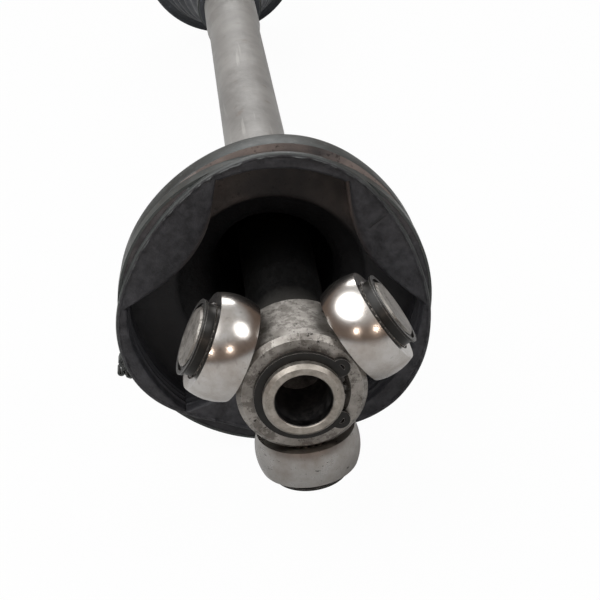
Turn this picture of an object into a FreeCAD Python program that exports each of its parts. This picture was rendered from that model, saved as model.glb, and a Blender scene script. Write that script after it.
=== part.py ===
import FreeCAD, Part
import math
import os
import re
import Sketcher

# Half-shaft with its two constant velocity joints, in millimetres.
#
# Frame: the origin is the centre of the tripod, +Y runs along the shaft to
# the wheel, +Z is up and one arm of the tripod hangs straight down. The
# tripod end is open: its rollers run in a housing that stays with the
# gearbox. The wheel end is a ball joint that carries the stub axle.

Vector = FreeCAD.Vector
Rotation = FreeCAD.Rotation
Placement = FreeCAD.Placement

SIZES = {
    # Bar
    "bar_d": 27.3,
    "joint_spacing": 562.0,
    "waist_d": 24.6,
    "waist_length": 24.0,
    "taper_length": 12.0,
    "shoulder_d": 29.3,
    "shoulder_start": 386.0,
    "shoulder_ramp": 14.0,
    "boot_seat_depth": 0.5,
    "neck_d": 23.6,
    "neck_length": 58.0,
    # Splines that carry the spider and the inner race
    "spline_d": 28.0,
    "spline_depth": 0.95,
    "spline_teeth": 26,
    "spline_play": 0.06,
    "stop_d": 31.0,
    "stop_length": 3.0,
    "race_spline_d": 25.0,
    "race_spline_teeth": 24,
    "race_stop_d": 27.4,
    # Nose of the shaft, in front of the spider
    "nose_d": 26.0,
    "nose_length": 3.2,
    "nose_chamfer": 1.2,
    "nose_bore_d": 18.4,
    "nose_bore_depth": 24.0,
    "nose_bore_chamfer": 0.5,
    # Spider
    "hub_d": 42.0,
    "hub_length": 26.4,
    "hub_chamfer": 1.6,
    "hub_countersink": 2.4,
    "trunnion_d": 20.0,
    "trunnion_reach": 38.1,
    "trunnion_chamfer": 0.6,
    "seat_height": 19.9,
    "arm_count": 3,
    # Circlip in front of the spider
    "circlip_thickness": 1.75,
    "circlip_play": 0.05,
    "circlip_groove_depth": 1.1,
    "circlip_d": 31.4,
    "circlip_gap_angle": 64.0,
    "circlip_turn": 95.5,
    "lug_d": 6.4,
    "lug_inset": 3.7,
    "lug_spread": 6.5,
    "lug_hole_d": 2.5,
    # Rollers on needles
    "roller_d": 35.2,
    "roller_width": 13.2,
    "roller_height": 27.1,
    "needle_d": 2.3,
    "needle_play": 0.03,
    "needle_length": 13.8,
    "needle_end_play": 0.1,
    "seat_play": 0.3,
    "roller_chamfer": 0.5,
    # Retainer and snap ring at the tip of each trunnion
    "retainer_thickness": 3.7,
    "retainer_flange_d": 25.3,
    "retainer_flange_thickness": 0.8,
    "retainer_body_d": 24.0,
    "retainer_recess_d": 22.8,
    "retainer_recess_depth": 1.7,
    "snap_ring_d": 22.0,
    "snap_ring_thickness": 1.0,
    "snap_ring_gap": 4.0,
    "snap_groove_depth": 0.6,
    "trunnion_play": 0.03,
    # Inner boot
    "mouth_station": 52.0,
    "mouth_wall": 4.0,
    "mouth_length": 15.5,
    "rest_play": 0.05,
    "mouth_depth": 20.0,
    "mouth_drop": 2.6,
    "mouth_shift": 3.3,
    "mouth_turn": -10.0,
    "lobe_d": 106.0,
    "pad_inner_radius": 35.0,
    "pad_arc_radius": 42.0,
    "band_groove_start": 2.6,
    "band_groove_width": 5.2,
    "band_groove_depth": 1.7,
    "boot_wall": 2.6,
    "inner_boot_front_d": 88.0,
    "inner_boot_fold": 6.0,
    "inner_boot_collar_start": 140.0,
    "boot_collar_length": 13.0,
    "boot_collar_wall": 3.2,
    "boot_play": 0.05,
    # Clamps
    "band_thickness": 0.9,
    "band_play": 0.05,
    "small_band_width": 7.0,
    "ear_height": 3.0,
    "ear_width": 7.5,
    "ear_wall": 0.9,
    "mouth_ear_turn": -107.0,
    # Ball joint at the wheel
    "ball_d": 19.05,
    "ball_circle_d": 64.0,
    "ball_count": 6,
    "window_play": 0.06,
    "track_bed_play": 0.34,
    "track_relief": 2.2,
    "track_half_angle": 44.0,
    "race_d": 54.0,
    "race_length": 25.0,
    "cage_bore_d": 54.4,
    "cage_d": 69.0,
    "cage_length": 25.0,
    "window_relief": 1.2,
    "bell_bore_d": 69.6,
    "bell_d": 94.0,
    "bell_rim_d": 90.6,
    "bell_rim_length": 13.0,
    "bell_mouth": 19.0,
    "bell_entry_d": 80.0,
    "bell_entry_slope": 7.0,
    "bell_entry_depth": 9.5,
    "bell_rim_step": 1.0,
    "bell_round_start": 18.0,
    "bell_round_middle": 26.0,
    "bell_round_drop": 4.0,
    "bell_neck_d": 56.0,
    "bell_neck_start": 39.0,
    "stub_shoulder": 43.0,
    "stub_shoulder_d": 44.0,
    "stub_shoulder_length": 6.0,
    "stub_spline_d": 27.6,
    "stub_spline_length": 44.0,
    "stub_relief_d": 24.0,
    "stub_relief_length": 4.0,
    "stub_undercut_d": 19.6,
    "stub_thread_d": 22.0,
    "stub_thread_length": 24.0,
    "stub_chamfer": 1.6,
    "stub_centre_d": 6.0,
    # Wire ring that holds the inner race on the shaft
    "race_ring_wire_d": 2.0,
    "race_ring_groove_depth": 1.0,
    "ring_gap_angle": 30.0,
    # Outer boot
    "outer_boot_collar_start": 424.5,
    "outer_boot_rim_wall": 4.35,
    "outer_boot_collar_length": 14.0,
    "outer_boot_last_d": 88.0,
    "outer_boot_fold": 6.5,
}

doc = FreeCAD.newDocument("half_shaft")
sheet = doc.addObject("Spreadsheet::Sheet", "Sizes")
for row, (alias, amount) in enumerate(SIZES.items(), 1):
    sheet.set(f"A{row}", alias)
    sheet.set(f"B{row}", str(amount))
    sheet.setAlias(f"B{row}", alias)
doc.recompute()


def size(alias):
    return float(sheet.get(alias))


def link(text):
    """A formula on the sheet's aliases, written as FreeCAD wants it."""

    def prefixed(word):
        return "Sizes." + word.group() if word.group() in SIZES else word.group()

    return re.sub(r"[a-z][a-z_0-9]*", prefixed, text)


def new_body(label):
    body = doc.addObject("PartDesign::Body", label)
    body.Label = label
    return body


def origin_part(body, role):
    return [item for item in body.Origin.OriginFeatures if item.Role == role][0]


def new_sketch(body, name, role, offset="0"):
    """An empty sketch on one of the body's own planes, moved along its normal."""
    sketch = body.newObject("Sketcher::SketchObject", f"{body.Label}_{name}")
    sketch.AttachmentSupport = [(origin_part(body, role), "")]
    sketch.MapMode = "FlatFace"
    sketch.setExpression("AttachmentOffset.Base.z", link(offset))
    return sketch


def pin_point(sketch, line, end, across, along):
    """Dimension a line's end from the origin, with the sheet's values."""
    for kind, text, axis in (("DistanceX", across, -2), ("DistanceY", along, -1)):
        if text == "0":
            sketch.addConstraint(Sketcher.Constraint("PointOnObject", line, end, axis))
        else:
            rule = Sketcher.Constraint(kind, -1, 1, line, end, 1.0)
            number = sketch.addConstraint(rule)
            sketch.setExpression(f"Constraints[{number}]", link(text))


def closed_outline(sketch, corners):
    """Straight lines through corners given as pairs of formulas."""
    count = len(corners)
    first = sketch.GeometryCount
    spread = [2 * math.pi * i / count for i in range(count + 1)]
    rough = [Vector(20 + 9 * math.cos(a), 20 - 9 * math.sin(a), 0) for a in spread]
    for i in range(count):
        sketch.addGeometry(Part.LineSegment(rough[i], rough[i + 1]), False)
    for i in range(count):
        after = first + (i + 1) % count
        sketch.addConstraint(Sketcher.Constraint("Coincident", first + i, 2, after, 1))
    for i, (across, along) in enumerate(corners):
        pin_point(sketch, first + i, 1, across, along)


def circle(sketch, diameter, across="0", along="0"):
    number = sketch.addGeometry(Part.Circle(Vector(5, 5, 0), Vector(0, 0, 1), 4), False)
    pin_point(sketch, number, 3, across, along)
    rule = sketch.addConstraint(Sketcher.Constraint("Diameter", number, 8.0))
    sketch.setExpression(f"Constraints[{rule}]", link(diameter))


def feature(body, kind, name, sketch=None, **values):
    """A PartDesign feature, with texts bound to the sheet and the rest set."""
    item = body.newObject(f"PartDesign::{kind}", f"{body.Label}_{name}")
    if sketch is not None:
        item.Profile = sketch
        sketch.Visibility = False
    for prop, value in values.items():
        if isinstance(value, str):
            item.setExpression(prop, link(value))
        else:
            setattr(item, prop, value)
    return item


def turned(body, name, role, corners, kind="Revolution", axis="V_Axis"):
    """A closed outline turned a full circle about an axis of its sketch."""
    sketch = new_sketch(body, name + "_outline", role)
    closed_outline(sketch, corners)
    item = feature(body, kind, name, sketch)
    item.ReferenceAxis = (sketch, [axis])
    item.Angle = 360
    return item


def patterned(body, name, originals, role, count):
    """Copies of features, evenly spaced about an axis of the body."""
    item = feature(body, "PolarPattern", name, Originals=originals, Occurrences=count)
    item.Axis = (origin_part(body, role), [""])
    item.Angle = 360
    body.Tip = item
    return item


# Straight sided splines: how much of one pitch the shaft's space takes at the
# tips and at the root of its teeth, to each side of the space's middle.
SPACE_AT_TIP = 0.30
SPACE_AT_ROOT = 0.17
SPLINE_SIDE_PLAY = 0.02


def about_shaft(angle, base=Vector(0, 0, 0)):
    """A piece turned about the shaft: 0 leaves +Z where it is, 90 takes it to +X."""
    return Placement(base, Rotation(Vector(0, 1, 0), angle))


def tooth_spaces(body, name, low, high, shares, phase, teeth, start, length):
    """Spaces of a spline between two radii, cut along +Y from a station."""
    sketch = new_sketch(body, name + "_outline", "XZ_Plane", f"-({start})")
    corners = []
    for side, radius, share in (
        (-1, low, shares[0]),
        (-1, high, shares[1]),
        (1, high, shares[1]),
        (1, low, shares[0]),
    ):
        angle = f"({phase} + {side * share}) * 360 / {teeth}"
        corners.append((f"({radius}) * sin({angle})", f"({radius}) * cos({angle})"))
    closed_outline(sketch, corners)
    space = feature(body, "Pocket", name, sketch, Length=length)
    return patterned(body, name + "s", [space], "Y_Axis", teeth)


def shaft_spline(body, name, diameter, teeth, start, length):
    low = f"{diameter} / 2 - spline_depth"
    high = f"{diameter} / 2 + spline_depth"
    # The flanks run on in the same lines past the tips.
    shares = (SPACE_AT_ROOT, 2 * SPACE_AT_TIP - SPACE_AT_ROOT)
    return tooth_spaces(body, name, low, high, shares, 0, teeth, start, length)


def hub_spline(body, name, diameter, teeth, start, length):
    low = f"{diameter} / 2 - 2 * spline_depth"
    high = f"{diameter} / 2 + spline_play"
    at_root = 0.5 - SPACE_AT_ROOT + SPLINE_SIDE_PLAY
    at_tip = 0.5 - SPACE_AT_TIP + SPLINE_SIDE_PLAY
    shares = (2 * at_root - at_tip, at_tip)
    return tooth_spaces(body, name, low, high, shares, 0.5, teeth, start, length)


# Stations along the shaft that several pieces share
HUB_BACK = "hub_length / 2"
HUB_FRONT = "-hub_length / 2"
CIRCLIP_FRONT = "-(hub_length / 2 + circlip_play + circlip_thickness)"
GROOVE_FRONT = "-(hub_length / 2 + 2 * circlip_play + circlip_thickness)"
NOSE_FRONT = f"({GROOVE_FRONT} - nose_length)"
STOP_BACK = f"({HUB_BACK} + stop_length)"
RACE_FRONT = "(joint_spacing - race_length / 2)"
RACE_BACK = "(joint_spacing + race_length / 2)"
OUTER_COLLAR_BACK = "(outer_boot_collar_start + boot_collar_length)"
INNER_COLLAR_BACK = "(inner_boot_collar_start + boot_collar_length)"


def drive_shaft():
    """The bar, with a spline, a stop and a ring groove at each end."""
    body = new_body("drive_shaft")
    nose = "nose_d / 2"
    bore = "nose_bore_d / 2"
    spline = "spline_d / 2"
    bar = "bar_d / 2"
    seat = "(bar_d / 2 - boot_seat_depth)"
    shoulder = "shoulder_d / 2"
    outer_seat = "(shoulder_d / 2 - boot_seat_depth)"
    neck = "neck_d / 2"
    race_spline = "race_spline_d / 2"
    waist_end = f"({STOP_BACK} + stop_length + waist_length)"
    neck_start = f"({RACE_FRONT} - stop_length - neck_length)"
    ring_groove = f"({race_spline} - race_ring_groove_depth)"
    ring_back = f"({RACE_BACK} + race_ring_wire_d + circlip_play)"
    end = f"({ring_back} + nose_length)"
    turned(body, "bar", "XY_Plane", [
        (f"{bore} + nose_bore_chamfer", NOSE_FRONT),
        (f"{nose} - nose_chamfer", NOSE_FRONT),
        (nose, f"{NOSE_FRONT} + nose_chamfer"),
        (nose, GROOVE_FRONT),
        (f"{nose} - circlip_groove_depth", GROOVE_FRONT),
        (f"{nose} - circlip_groove_depth", HUB_FRONT),
        (spline, HUB_FRONT),
        (spline, HUB_BACK),
        ("stop_d / 2", HUB_BACK),
        ("stop_d / 2", STOP_BACK),
        ("waist_d / 2", f"{STOP_BACK} + stop_length"),
        ("waist_d / 2", waist_end),
        (bar, f"{waist_end} + taper_length"),
        (bar, "inner_boot_collar_start"),
        (seat, "inner_boot_collar_start"),
        (seat, INNER_COLLAR_BACK),
        (bar, INNER_COLLAR_BACK),
        (bar, "shoulder_start - shoulder_ramp"),
        (shoulder, "shoulder_start"),
        (shoulder, "outer_boot_collar_start"),
        (outer_seat, "outer_boot_collar_start"),
        (outer_seat, OUTER_COLLAR_BACK),
        (shoulder, OUTER_COLLAR_BACK),
        (bar, f"{OUTER_COLLAR_BACK} + taper_length"),
        (bar, f"{neck_start} - taper_length"),
        (neck, neck_start),
        (neck, f"{RACE_FRONT} - stop_length"),
        ("race_stop_d / 2", f"{RACE_FRONT} - stop_length"),
        ("race_stop_d / 2", RACE_FRONT),
        (race_spline, RACE_FRONT),
        (race_spline, RACE_BACK),
        (ring_groove, RACE_BACK),
        (ring_groove, ring_back),
        (race_spline, ring_back),
        (f"{race_spline} - nose_chamfer", end),
        ("0", end),
        ("0", f"{NOSE_FRONT} + nose_bore_depth + nose_bore_d / 6"),
        (bore, f"{NOSE_FRONT} + nose_bore_depth"),
        (bore, f"{NOSE_FRONT} + nose_bore_chamfer"),
    ])
    shaft_spline(body, "spider_space", "spline_d", "spline_teeth", HUB_FRONT, "hub_length")
    race_run = f"{end} - {RACE_FRONT} + 1"
    shaft_spline(body, "race_space", "race_spline_d", "race_spline_teeth", RACE_FRONT, race_run)
    return body


# Heights along each arm of the spider, from the shaft's axis
NEEDLE_BASE = "(seat_height + needle_end_play)"
RETAINER_BASE = "(seat_height + 2 * needle_end_play + needle_length)"
RETAINER_TOP = f"({RETAINER_BASE} + retainer_thickness)"
SNAP_BASE = f"({RETAINER_TOP} - retainer_recess_depth)"
SNAP_TOP = f"({SNAP_BASE} + snap_ring_thickness)"
NEEDLE_CIRCLE = "(trunnion_d / 2 + needle_play + needle_d / 2)"
ROLLER_BORE = "(trunnion_d / 2 + 2 * needle_play + needle_d)"


def tripod_spider():
    """The splined hub and its three trunnions."""
    body = new_body("tripod_spider")
    bore = "(spline_d / 2 - spline_depth + spline_play)"
    rim = "hub_d / 2"
    turned(body, "hub", "XY_Plane", [
        (bore, f"{HUB_FRONT} + hub_countersink"),
        (f"{bore} + hub_countersink", HUB_FRONT),
        (f"{rim} - hub_chamfer", HUB_FRONT),
        (rim, f"{HUB_FRONT} + hub_chamfer"),
        (rim, f"{HUB_BACK} - hub_chamfer"),
        (f"{rim} - hub_chamfer", HUB_BACK),
        (bore, HUB_BACK),
    ])
    seat = turned(body, "seat", "XZ_Plane", [
        ("0", "-seat_height"),
        ("roller_d / 2 + seat_play", "-seat_height"),
        ("roller_d / 2 + seat_play", "-hub_d"),
        ("0", "-hub_d"),
    ], kind="Groove")
    pin = "trunnion_d / 2"
    low = f"-({SNAP_BASE} - circlip_play)"
    high = f"-({SNAP_TOP} + circlip_play)"
    root = "-(spline_d / 2 + 3 * spline_play + 1)"
    trunnion = turned(body, "trunnion", "XZ_Plane", [
        ("0", root),
        (pin, root),
        (pin, low),
        (f"{pin} - snap_groove_depth", low),
        (f"{pin} - snap_groove_depth", high),
        (pin, high),
        (pin, "-(trunnion_reach - trunnion_chamfer)"),
        (f"{pin} - trunnion_chamfer", "-trunnion_reach"),
        ("0", "-trunnion_reach"),
    ])
    patterned(body, "arms", [seat, trunnion], "Y_Axis", "arm_count")
    hub_spline(body, "space", "spline_d", "spline_teeth", f"{HUB_FRONT} - 1", "hub_length + 2")
    return body


def spider_circlip():
    """Flat ring in front of the spider, open to one side, with two eyes."""
    body = new_body("spider_circlip")
    inner = "nose_d - 2 * circlip_groove_depth + 2 * circlip_play"
    ring_sketch = new_sketch(body, "ring_outline", "XZ_Plane", f"-({CIRCLIP_FRONT})")
    circle(ring_sketch, "circlip_d")
    circle(ring_sketch, inner)
    feature(body, "Pad", "ring", ring_sketch, Length="circlip_thickness", Reversed=True)
    half = "circlip_gap_angle / 2"
    gap = new_sketch(body, "gap_outline", "XZ_Plane", f"-({CIRCLIP_FRONT} - 1)")
    closed_outline(gap, [
        ("0", "0"),
        (f"circlip_d * sin({half})", f"circlip_d * cos({half})"),
        (f"-circlip_d * sin({half})", f"circlip_d * cos({half})"),
    ])
    feature(body, "Pocket", "gap", gap, Length="circlip_thickness + 2")
    lug_circle = "(circlip_d / 2 + lug_d / 2 - lug_inset)"
    lug_angle = f"({half} + lug_spread)"
    lugs = new_sketch(body, "lug_outline", "XZ_Plane", f"-({CIRCLIP_FRONT})")
    for side in ("-", ""):
        across = f"{side}{lug_circle} * sin({lug_angle})"
        circle(lugs, "lug_d", across, f"{lug_circle} * cos({lug_angle})")
        circle(lugs, "lug_hole_d", across, f"{lug_circle} * cos({lug_angle})")
    feature(body, "Pad", "lugs", lugs, Length="circlip_thickness", Reversed=True)
    body.Placement = about_shaft(size("circlip_turn"))
    return body


def arm_turn(arm):
    """The turn about the shaft that takes +Z to an arm; arm 1 hangs down."""
    return 180 - 360 * (arm - 1) / size("arm_count")


def roller(arm):
    """Outer ring of a needle bearing, part of a sphere."""
    body = new_body(f"roller_{arm}")
    low = "(roller_height - roller_width / 2)"
    high = "(roller_height + roller_width / 2)"
    ball = feature(body, "AdditiveSphere", "ball", Radius="roller_d / 2")
    ball.setExpression("Angle1", link("-asin(roller_width / roller_d)"))
    ball.setExpression("Angle2", link("asin(roller_width / roller_d)"))
    ball.setExpression("Placement.Base.z", link("roller_height"))
    wide = f"{ROLLER_BORE} + roller_chamfer + 1"
    turned(body, "bore", "XZ_Plane", [
        ("0", f"{low} - 1"),
        (wide, f"{low} - 1"),
        (ROLLER_BORE, f"{low} + roller_chamfer"),
        (ROLLER_BORE, f"{high} - roller_chamfer"),
        (wide, f"{high} + 1"),
        ("0", f"{high} + 1"),
    ], kind="Groove")
    body.Placement = about_shaft(arm_turn(arm))
    return body


def needle_rollers(arm):
    """The loose needles between a trunnion and its roller."""
    body = new_body(f"needle_rollers_{arm}")
    body.AllowCompound = True
    sketch = new_sketch(body, "end", "XY_Plane", NEEDLE_BASE)
    circle(sketch, "needle_d", NEEDLE_CIRCLE)
    needle = feature(body, "Pad", "needle", sketch, Length="needle_length")
    share = f"needle_d / 2 / {NEEDLE_CIRCLE}"
    count = f"floor(180 / asin({share} + needle_play / 2 / {NEEDLE_CIRCLE}))"
    patterned(body, "set", [needle], "Z_Axis", count)
    body.Placement = about_shaft(arm_turn(arm))
    return body


def needle_retainer(arm):
    """Flanged ring over the needles' outer ends, which also stops the roller."""
    body = new_body(f"needle_retainer_{arm}")
    bore = "trunnion_d / 2 + trunnion_play"
    flange_base = f"{RETAINER_TOP} - retainer_flange_thickness"
    turned(body, "ring", "XZ_Plane", [
        (bore, RETAINER_BASE),
        ("retainer_body_d / 2", RETAINER_BASE),
        ("retainer_body_d / 2", flange_base),
        ("retainer_flange_d / 2", flange_base),
        ("retainer_flange_d / 2", RETAINER_TOP),
        ("retainer_recess_d / 2", RETAINER_TOP),
        ("retainer_recess_d / 2", SNAP_BASE),
        (bore, SNAP_BASE),
    ])
    body.Placement = about_shaft(arm_turn(arm))
    return body


def snap_ring(arm):
    """Open ring in the trunnion's groove, which holds the retainer."""
    body = new_body(f"trunnion_snap_ring_{arm}")
    ring = new_sketch(body, "ring_outline", "XY_Plane", SNAP_BASE)
    circle(ring, "snap_ring_d")
    circle(ring, "trunnion_d - 2 * snap_groove_depth + 2 * trunnion_play")
    feature(body, "Pad", "ring", ring, Length="snap_ring_thickness")
    gap = new_sketch(body, "gap_outline", "XY_Plane", f"{SNAP_BASE} - 1")
    closed_outline(gap, [
        ("-snap_ring_gap / 2", "0"),
        ("snap_ring_gap / 2", "0"),
        ("snap_ring_gap / 2", "snap_ring_d"),
        ("-snap_ring_gap / 2", "snap_ring_d"),
    ])
    feature(body, "Pocket", "gap", gap, Length="snap_ring_thickness + 2", Reversed=True)
    body.Placement = about_shaft(arm_turn(arm))
    return body


# Half the width of a fold's blunt tip, as a share of half a fold
BLUNT = 0.14
INNER_FOLDS = 4
OUTER_FOLDS = 5


def fold_corners(folds, start, small, end, large, fold, inset):
    """Blunt crests and hollows of a boot, which deepen from its small collar outward."""
    corners = []
    for step in range(2 * folds):
        middle = (step + 0.5) / (2 * folds)
        crest = f"{small} + ({large} - {small}) * {middle}"
        depth = "0" if step % 2 else f"{fold} * {middle}"
        for side in (-BLUNT, BLUNT):
            share = middle + side / (2 * folds)
            station = f"{start} + ({end} - {start}) * {share}"
            corners.append((f"{crest} - {depth} - {inset}", station))
    return corners


BAND_START = "(mouth_station + band_groove_start)"
BAND_END = "(mouth_station + band_groove_start + band_groove_width)"
MOUTH_END = "(mouth_station + mouth_length)"
MOUTH_RADIUS = "(lobe_d / 2 + mouth_wall)"
OUTER_RIM_RADIUS = "(bell_rim_d / 2 + boot_play + outer_boot_rim_wall)"
CUP_END = "(mouth_station + mouth_depth + boot_wall)"


def cup_sketch(body, name, role, offset="0"):
    """A sketch centred on the mouth, which droops off the shaft's axis."""
    sketch = new_sketch(body, name, role, offset)
    sketch.setExpression("AttachmentOffset.Base.x", link("-mouth_shift"))
    if role == "XY_Plane":
        sketch.setExpression("AttachmentOffset.Base.z", link("-mouth_drop"))
    else:
        sketch.setExpression("AttachmentOffset.Base.y", link("-mouth_drop"))
    return sketch


def inner_boot():
    """Folded rubber boot with a three lobed mouth for the tripod's housing."""
    body = new_body("inner_boot")
    lobe = "lobe_d / 2"
    mouth = MOUTH_RADIUS
    floor = f"({mouth} - band_groove_depth)"
    opening = "(inner_boot_front_d / 2 - inner_boot_fold - boot_wall - mouth_drop - mouth_shift)"
    cup = cup_sketch(body, "cup_outline", "XY_Plane")
    closed_outline(cup, [
        (lobe, "mouth_station"),
        (mouth, "mouth_station"),
        (mouth, BAND_START),
        (floor, BAND_START),
        (floor, BAND_END),
        (mouth, BAND_END),
        (mouth, MOUTH_END),
        (f"{lobe} + boot_wall", f"{MOUTH_END} + boot_wall / 2"),
        (f"{lobe} + boot_wall", f"{CUP_END} - boot_wall"),
        (lobe, CUP_END),
        (opening, CUP_END),
        (opening, f"{CUP_END} - boot_wall"),
        (lobe, f"{CUP_END} - boot_wall"),
    ])
    shell = feature(body, "Revolution", "cup", cup)
    shell.ReferenceAxis = (cup, ["V_Axis"])
    shell.Angle = 360

    pad = cup_sketch(body, "pad_outline", "XZ_Plane", "-mouth_station")
    pad.setExpression("AttachmentOffset.Rotation.Angle", link("mouth_turn"))
    radius = size("lobe_d") / 2 + size("boot_wall") / 4
    arc_radius = size("pad_arc_radius")
    centre = size("pad_inner_radius") + arc_radius
    height = (radius**2 - arc_radius**2 + centre**2) / (2 * centre)
    half = math.sqrt(radius**2 - height**2)
    inner_start = math.atan2(centre - height, half)
    outward = Vector(0, 0, 1)
    face_arc = Part.ArcOfCircle(
        Part.Circle(Vector(0, -centre, 0), outward, arc_radius), inner_start, math.pi - inner_start
    )
    wall_arc = Part.ArcOfCircle(
        Part.Circle(Vector(0, 0, 0), outward, radius),
        math.atan2(-height, -half),
        math.atan2(-height, half),
    )
    pad.addGeometry(wall_arc, False)
    pad.addGeometry(face_arc, False)
    pad.addConstraint(Sketcher.Constraint("Coincident", 0, 3, -1, 1))
    pad.addConstraint(Sketcher.Constraint("PointOnObject", 1, 3, -2))
    pad.addConstraint(Sketcher.Constraint("Coincident", 0, 2, 1, 1))
    pad.addConstraint(Sketcher.Constraint("Coincident", 0, 1, 1, 2))
    for kind, geometry, text, now in (
        ("Radius", 0, "lobe_d / 2 + boot_wall / 4", radius),
        ("Radius", 1, "pad_arc_radius", arc_radius),
    ):
        rule = pad.addConstraint(Sketcher.Constraint(kind, geometry, now))
        pad.setExpression(f"Constraints[{rule}]", link(text))
    rule = pad.addConstraint(Sketcher.Constraint("DistanceY", -1, 1, 1, 3, -centre))
    pad.setExpression(f"Constraints[{rule}]", link("-(pad_inner_radius + pad_arc_radius)"))
    first_pad = feature(body, "Pad", "pad", pad, Length="mouth_depth + boot_wall / 2")
    first_pad.Reversed = True
    pads = feature(body, "PolarPattern", "pads", Originals=[first_pad], Occurrences="arm_count")
    pads.Axis = (pad, ["N_Axis"])
    pads.Angle = 360
    body.Tip = pads

    # The collar is flattened underneath, down to just outside the clamp
    flat = cup_sketch(body, "flat_outline", "XZ_Plane", "-(mouth_station - boot_wall)")
    rest = f"-({floor} + band_play + band_thickness + rest_play)"
    closed_outline(flat, [
        (f"-{mouth}", f"-{mouth} - boot_wall"),
        (mouth, f"-{mouth} - boot_wall"),
        (mouth, rest),
        (f"-{mouth}", rest),
    ])
    feature(body, "Pocket", "flat", flat, Length="mouth_length + 2 * boot_wall")

    collar_front = "inner_boot_collar_start"
    bore = "(bar_d / 2 - boot_seat_depth + boot_play)"
    collar = f"({bore} + boot_collar_wall)"
    front = "(inner_boot_front_d / 2)"
    fold_start = f"({CUP_END} - boot_wall / 2)"
    folds = [INNER_FOLDS, collar_front, collar, fold_start, front, "inner_boot_fold"]
    turned(body, "folds", "XY_Plane", [
        (f"{front} - inner_boot_fold", fold_start),
    ] + fold_corners(*folds, "0")[::-1] + [
        (collar, collar_front),
        (collar, INNER_COLLAR_BACK),
        (bore, INNER_COLLAR_BACK),
        (bore, collar_front),
        ("bar_d / 2 + boot_play", collar_front),
    ] + fold_corners(*folds, "boot_wall") + [
        (f"{front} - inner_boot_fold - boot_wall", fold_start),
    ])
    return body


def outer_boot():
    """Folded rubber boot over the ball joint, clamped to the bar and the bell."""
    body = new_body("outer_boot")
    bore = "(shoulder_d / 2 - boot_seat_depth + boot_play)"
    collar = f"({bore} + boot_collar_wall)"
    rim_bore = "(bell_rim_d / 2 + boot_play)"
    rim = OUTER_RIM_RADIUS
    last = "(outer_boot_last_d / 2)"
    collar_front = "outer_boot_collar_start"
    bell_front = "(joint_spacing - bell_mouth)"
    rim_end = f"({bell_front} + outer_boot_collar_length - boot_wall - boot_play)"
    rim_front = f"({bell_front} - boot_wall - boot_play)"
    folds = [OUTER_FOLDS, OUTER_COLLAR_BACK, collar, rim_front, last, "outer_boot_fold"]
    grooved = f"{rim} - band_groove_depth"
    groove_start = f"{rim_front} + boot_wall + band_groove_start"
    turned(body, "folds", "XY_Plane", [
        (bore, collar_front),
        (collar, collar_front),
        (collar, OUTER_COLLAR_BACK),
    ] + fold_corners(*folds, "0") + [
        (f"{rim} - boot_wall", rim_front),
        (rim, f"{rim_front} + boot_wall"),
        (rim, groove_start),
        (grooved, groove_start),
        (grooved, f"{groove_start} + band_groove_width"),
        (rim, f"{groove_start} + band_groove_width"),
        (rim, rim_end),
        (rim_bore, rim_end),
        (rim_bore, f"{bell_front} - boot_play"),
        (f"{last} - outer_boot_fold - boot_wall", f"{bell_front} - boot_play"),
    ] + fold_corners(*folds, "boot_wall")[::-1] + [
        ("shoulder_d / 2 + boot_play", OUTER_COLLAR_BACK),
        (bore, OUTER_COLLAR_BACK),
    ])
    return body


def band_clamp(label, bore, width, place):
    """Steel band round a boot's collar, closed by a hollow crimped ear."""
    body = new_body(label)
    outer = f"({bore} + band_thickness)"
    half = f"({width} / 2)"
    turned(body, "band", "XY_Plane", [
        (bore, f"-{half}"),
        (outer, f"-{half}"),
        (outer, half),
        (bore, half),
    ])
    ear = new_sketch(body, "ear_outline", "XZ_Plane", half)
    top = f"{outer} + ear_height"
    foot = f"{outer} - band_thickness / 2"
    closed_outline(ear, [
        ("-ear_width / 2", foot),
        ("-ear_width / 2 + ear_wall", top),
        ("ear_width / 2 - ear_wall", top),
        ("ear_width / 2", foot),
    ])
    feature(body, "Pad", "ear", ear, Length=width, Reversed=True)
    hollow = new_sketch(body, "hollow_outline", "XZ_Plane", f"{half} + 1")
    closed_outline(hollow, [
        ("-ear_width / 2 + 1.6 * ear_wall", f"{outer} + band_play"),
        ("-ear_width / 2 + 2 * ear_wall", f"{top} - ear_wall"),
        ("ear_width / 2 - 2 * ear_wall", f"{top} - ear_wall"),
        ("ear_width / 2 - 1.6 * ear_wall", f"{outer} + band_play"),
    ])
    feature(body, "Pocket", "hollow", hollow, Length=f"{width} + 2")
    body.Placement = place
    return body


def ball_tracks(body, side):
    """Grooves for the balls, swept about the joint's centre, outside or inside their orbit.

    Each is rounder than its ball and a little deep, because the balls off the
    plane in which the joint swings shift sideways in their tracks.
    """
    sketch = new_sketch(body, "track_outline", "XZ_Plane")
    path = f"ball_circle_d / 2 + {side} * (track_bed_play - track_relief)"
    circle(sketch, "ball_d + 2 * track_relief", "0", path)
    groove = feature(
        body, "Groove", "track", sketch, Angle="2 * track_half_angle", Midplane=True
    )
    groove.ReferenceAxis = (sketch, ["H_Axis"])
    return patterned(body, "tracks", [groove], "Y_Axis", "ball_count")


def at_joint(body):
    """Moves a piece drawn about the ball joint's centre to its place."""
    body.setExpression("Placement.Base.y", link("joint_spacing"))
    return body


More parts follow.
